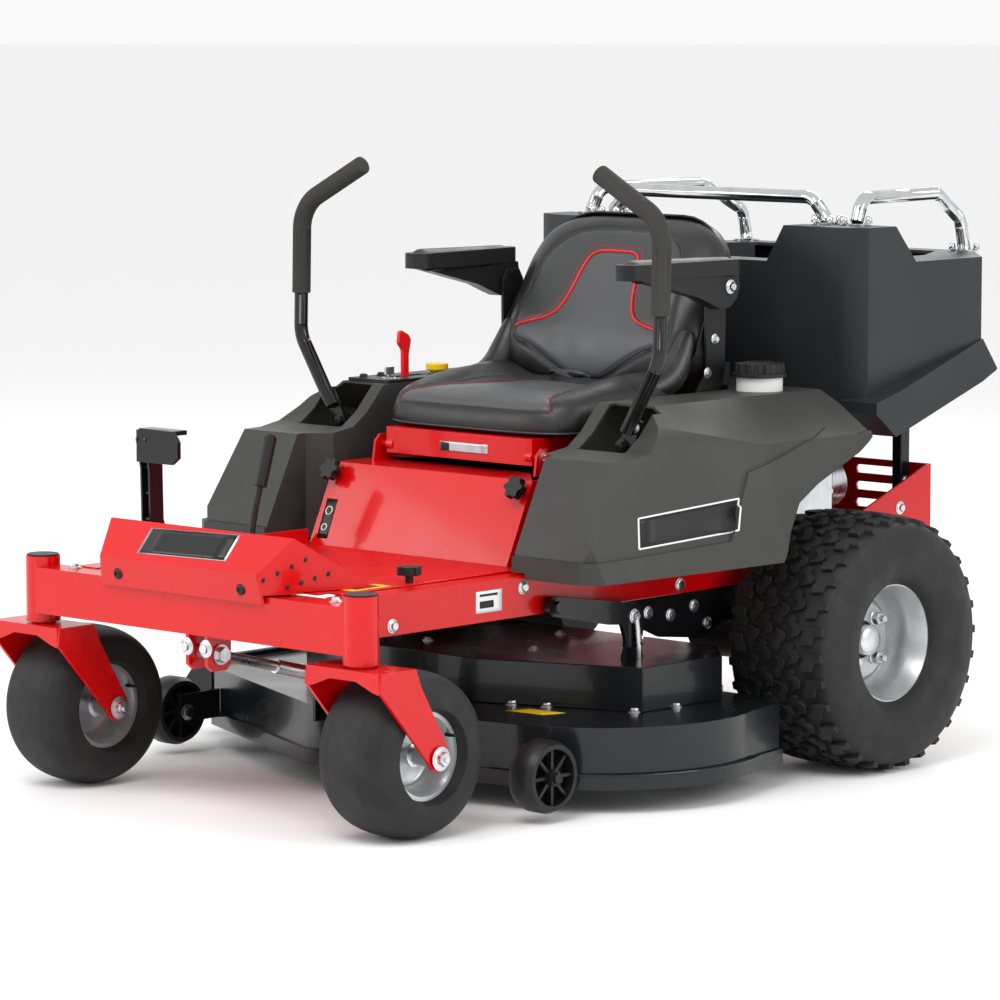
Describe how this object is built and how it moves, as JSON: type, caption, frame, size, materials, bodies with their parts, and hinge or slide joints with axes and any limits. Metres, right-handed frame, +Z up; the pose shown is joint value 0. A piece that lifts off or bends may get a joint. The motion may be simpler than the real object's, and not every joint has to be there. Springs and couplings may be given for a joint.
{
  "type": "zero turn mower",
  "caption": "Ride-on zero turn mower with twin steering levers, mid-mounted cutting deck, caster front wheels and a rear cargo bed with chrome rails.",
  "frame": {"origin": "on the ground under the middle of the mower's length and width", "axes": "+Y towards the rear, so the mower faces -Y; +X towards the operator's left; +Z up"},
  "size_m": [1.24, 1.83, 1.0829],
  "materials": {
    "front_crossbar": "glossy red powder coat",
    "frame_rail_left": "glossy red powder coat",
    "frame_rail_right": "glossy red powder coat",
    "engine_plate": "glossy red powder coat",
    "rear_guard": "glossy red powder coat",
    "bed_struts": "glossy black powder coat",
    "caster_caps": "satin black moulding",
    "caster_fork_left": "glossy red powder coat",
    "caster_fork_right": "glossy red powder coat",
    "caster_rim_left": "silver paint",
    "caster_rim_right": "silver paint",
    "caster_tyre_left": "matt black rubber",
    "caster_tyre_right": "matt black rubber",
    "transaxles": "satin black casting",
    "rear_hub_left": "black",
    "rear_hub_right": "black",
    "rear_rim_left": "silver paint",
    "rear_rim_right": "silver paint",
    "rear_tyre_left": "matt black rubber",
    "rear_tyre_right": "matt black rubber",
    "floor_pan": "glossy red powder coat",
    "foot_cowl": "glossy red powder coat",
    "seat_box": "glossy red powder coat",
    "panel_knobs": "satin black moulding",
    "seat_pan": "glossy red powder coat",
    "seat_base": "grained vinyl",
    "seat_back": "grained vinyl",
    "seat_shell": "glossy black powder coat",
    "armrest_left": "satin black moulding",
    "armrest_right": "satin black moulding",
    "fender_left": "fine-textured charcoal",
    "fender_right": "fine-textured charcoal",
    "console_panel": "satin black moulding",
    "throttle_lever": "red moulding",
    "pto_knob": "yellow moulding",
    "ignition_key": "bare steel",
    "fuel_tank": "natural polyethylene",
    "fuel_cap": "satin black moulding",
    "lever_mount_left": "glossy black powder coat",
    "lever_mount_right": "glossy black powder coat",
    "steering_lever_left": "glossy black powder coat",
    "steering_lever_right": "glossy black powder coat",
    "lever_grip_left": "closed-cell foam",
    "lever_grip_right": "closed-cell foam",
    "brake_lever": "glossy black powder coat",
    "lift_pedal": "glossy black powder coat",
    "engine": "satin black casting",
    "muffler": "bare steel",
    "clutch_pulley": "bare steel",
    "deck_shell": "glossy black powder coat",
    "belt_cover": "glossy black powder coat",
    "blade_left": "bare steel",
    "blade_right": "bare steel",
    "discharge_chute": "satin black moulding",
    "scalp_wheel_left": "satin black moulding",
    "scalp_wheel_right": "satin black moulding",
    "lift_arms": "glossy black powder coat",
    "front_link": "bare steel",
    "cargo_bed": "fine-textured blue-black",
    "bed_rails": "bright chrome"
  },
  "bodies": {
    "chassis": {"front_crossbar": "front_crossbar", "frame_rail_left": "frame_rail_left", "frame_rail_right": "frame_rail_right", "engine_plate": "engine_plate", "rear_guard": "rear_guard", "bed_struts": "bed_struts", "caster_caps": "caster_caps", "transaxles": "transaxles", "floor_pan": "floor_pan", "foot_cowl": "foot_cowl", "seat_box": "seat_box", "panel_knobs": "panel_knobs", "fender_left": "fender_left", "fender_right": "fender_right", "console_panel": "console_panel", "fuel_tank": "fuel_tank", "engine": "engine", "muffler": "muffler", "cargo_bed": "cargo_bed", "bed_rails": "bed_rails"},
    "swivel_left": {"caster_fork_left": "caster_fork_left"},
    "swivel_right": {"caster_fork_right": "caster_fork_right"},
    "caster_wheel_left": {"caster_rim_left": "caster_rim_left", "caster_tyre_left": "caster_tyre_left"},
    "caster_wheel_right": {"caster_rim_right": "caster_rim_right", "caster_tyre_right": "caster_tyre_right"},
    "drive_wheel_left": {"rear_hub_left": "rear_hub_left", "rear_rim_left": "rear_rim_left", "rear_tyre_left": "rear_tyre_left"},
    "drive_wheel_right": {"rear_hub_right": "rear_hub_right", "rear_rim_right": "rear_rim_right", "rear_tyre_right": "rear_tyre_right"},
    "seat": {"seat_pan": "seat_pan", "seat_base": "seat_base", "seat_back": "seat_back", "seat_shell": "seat_shell"},
    "armrest_left": {"armrest_left": "armrest_left"},
    "armrest_right": {"armrest_right": "armrest_right"},
    "throttle": {"throttle_lever": "throttle_lever"},
    "pto_switch": {"pto_knob": "pto_knob"},
    "key": {"ignition_key": "ignition_key"},
    "filler_cap": {"fuel_cap": "fuel_cap"},
    "lever_base_left": {"lever_mount_left": "lever_mount_left"},
    "lever_base_right": {"lever_mount_right": "lever_mount_right"},
    "lever_left": {"steering_lever_left": "steering_lever_left", "lever_grip_left": "lever_grip_left"},
    "lever_right": {"steering_lever_right": "steering_lever_right", "lever_grip_right": "lever_grip_right"},
    "parking_brake": {"brake_lever": "brake_lever"},
    "pedal": {"lift_pedal": "lift_pedal"},
    "pulley": {"clutch_pulley": "clutch_pulley"},
    "deck": {"deck_shell": "deck_shell", "belt_cover": "belt_cover"},
    "cutter_left": {"blade_left": "blade_left"},
    "cutter_right": {"blade_right": "blade_right"},
    "chute": {"discharge_chute": "discharge_chute"},
    "deck_wheel_left": {"scalp_wheel_left": "scalp_wheel_left"},
    "deck_wheel_right": {"scalp_wheel_right": "scalp_wheel_right"},
    "arms": {"lift_arms": "lift_arms"},
    "link": {"front_link": "front_link"}
  },
  "joints": [
    {"name": "caster_swivel_left", "type": "hinge", "parent": "chassis", "child": "swivel_left", "pos_m": [0.388, -0.868, 0.2], "axis": [0, 0, 1], "continuous": true},
    {"name": "caster_spin_left", "type": "hinge", "parent": "swivel_left", "child": "caster_wheel_left", "pos_m": [0.388, -0.775, 0.14], "axis": [1, 0, 0], "continuous": true},
    {"name": "drive_wheel_spin_left", "type": "hinge", "parent": "chassis", "child": "drive_wheel_left", "pos_m": [0.497, 0.275, 0.23], "axis": [1, 0, 0], "continuous": true},
    {"name": "lever_drive_left", "type": "hinge", "parent": "chassis", "child": "lever_base_left", "pos_m": [0.33, -0.173, 0.48], "axis": [1, 0, 0], "range_deg": [-10, 12], "stiffness_Nm_per_rad": 90},
    {"name": "lever_swing_left", "type": "hinge", "parent": "lever_base_left", "child": "lever_left", "pos_m": [0.344, -0.175, 0.599], "axis": [0, -1, 0], "range_deg": [0, 20]},
    {"name": "caster_swivel_right", "type": "hinge", "parent": "chassis", "child": "swivel_right", "pos_m": [-0.388, -0.868, 0.2], "axis": [0, 0, 1], "continuous": true},
    {"name": "caster_spin_right", "type": "hinge", "parent": "swivel_right", "child": "caster_wheel_right", "pos_m": [-0.388, -0.775, 0.14], "axis": [1, 0, 0], "continuous": true},
    {"name": "drive_wheel_spin_right", "type": "hinge", "parent": "chassis", "child": "drive_wheel_right", "pos_m": [-0.497, 0.275, 0.23], "axis": [1, 0, 0], "continuous": true},
    {"name": "lever_drive_right", "type": "hinge", "parent": "chassis", "child": "lever_base_right", "pos_m": [-0.33, -0.173, 0.48], "axis": [1, 0, 0], "range_deg": [-10, 12], "stiffness_Nm_per_rad": 90},
    {"name": "lever_swing_right", "type": "hinge", "parent": "lever_base_right", "child": "lever_right", "pos_m": [-0.344, -0.175, 0.599], "axis": [0, 1, 0], "range_deg": [0, 20]},
    {"name": "seat_tilt", "type": "hinge", "parent": "chassis", "child": "seat", "pos_m": [0.183, -0.22, 0.571], "axis": [1, 0, 0], "range_deg": [0, 38]},
    {"name": "armrest_fold_left", "type": "hinge", "parent": "seat", "child": "armrest_left", "pos_m": [0.27, 0.179, 0.856], "axis": [-1, 0, 0], "range_deg": [0, 85]},
    {"name": "armrest_fold_right", "type": "hinge", "parent": "seat", "child": "armrest_right", "pos_m": [-0.27, 0.179, 0.856], "axis": [-1, 0, 0], "range_deg": [0, 85]},
    {"name": "throttle_travel", "type": "hinge", "parent": "chassis", "child": "throttle", "pos_m": [-0.318, -0.037, 0.6582], "axis": [1, 0, 0], "range_deg": [-18, 18]},
    {"name": "pto_pull", "type": "slide", "parent": "chassis", "child": "pto_switch", "axis": [0, 0, 1], "range_m": [0, 0.012]},
    {"name": "key_turn", "type": "hinge", "parent": "chassis", "child": "key", "pos_m": [-0.292, -0.105, 0.668], "axis": [0, 0, -1], "range_deg": [0, 70]},
    {"name": "cap_turn", "type": "hinge", "parent": "chassis", "child": "filler_cap", "pos_m": [0.312, 0.231, 0.693], "axis": [0, 0, 1], "continuous": true},
    {"name": "brake_throw", "type": "hinge", "parent": "chassis", "child": "parking_brake", "pos_m": [-0.262, -0.495, 0.385], "axis": [1, 0, 0], "range_deg": [0, 28]},
    {"name": "deck_lift", "type": "slide", "parent": "chassis", "child": "deck", "axis": [0, 0, 1], "range_m": [0, 0.055]},
    {"name": "pedal_throw", "type": "hinge", "parent": "chassis", "child": "pedal", "pos_m": [-0.262, -0.685, 0.352], "axis": [1, 0, 0], "range_deg": [0, 20]},
    {"name": "lift_arm_turn", "type": "hinge", "parent": "chassis", "child": "arms", "pos_m": [0, -0.358, 0.336], "axis": [1, 0, 0], "range_deg": [0, 17]},
    {"name": "front_link_turn", "type": "hinge", "parent": "chassis", "child": "link", "pos_m": [0.03, -0.869, 0.28], "axis": [1, 0, 0], "range_deg": [0, 11.2]},
    {"name": "clutch_spin", "type": "hinge", "parent": "chassis", "child": "pulley", "pos_m": [0, 0.475, 0.3], "axis": [0, 0, 1], "continuous": true},
    {"name": "blade_spin_left", "type": "hinge", "parent": "deck", "child": "cutter_left", "pos_m": [0.3, -0.21, 0.1], "axis": [0, 0, 1], "continuous": true},
    {"name": "blade_spin_right", "type": "hinge", "parent": "deck", "child": "cutter_right", "pos_m": [-0.234, -0.195, 0.1], "axis": [0, 0, 1], "continuous": true},
    {"name": "chute_flap", "type": "hinge", "parent": "deck", "child": "chute", "pos_m": [-0.536, -0.155, 0.152], "axis": [0, 1, 0], "range_deg": [0, 70]},
    {"name": "deck_wheel_spin_left", "type": "hinge", "parent": "deck", "child": "deck_wheel_left", "pos_m": [0.47, -0.519, 0.078], "axis": [1, 0, 0], "continuous": true},
    {"name": "deck_wheel_spin_right", "type": "hinge", "parent": "deck", "child": "deck_wheel_right", "pos_m": [-0.498, -0.461, 0.078], "axis": [1, 0, 0], "continuous": true}
  ],
  "couplings": [
    {"joint": "blade_spin_left", "follows": "clutch_spin", "ratio": 1},
    {"joint": "blade_spin_right", "follows": "clutch_spin", "ratio": 1},
    {"joint": "pedal_throw", "follows": "deck_lift", "rad_per_m": 6.3},
    {"joint": "lift_arm_turn", "follows": "deck_lift", "rad_per_m": 5.35},
    {"joint": "front_link_turn", "follows": "deck_lift", "rad_per_m": 3.5}
  ]
}
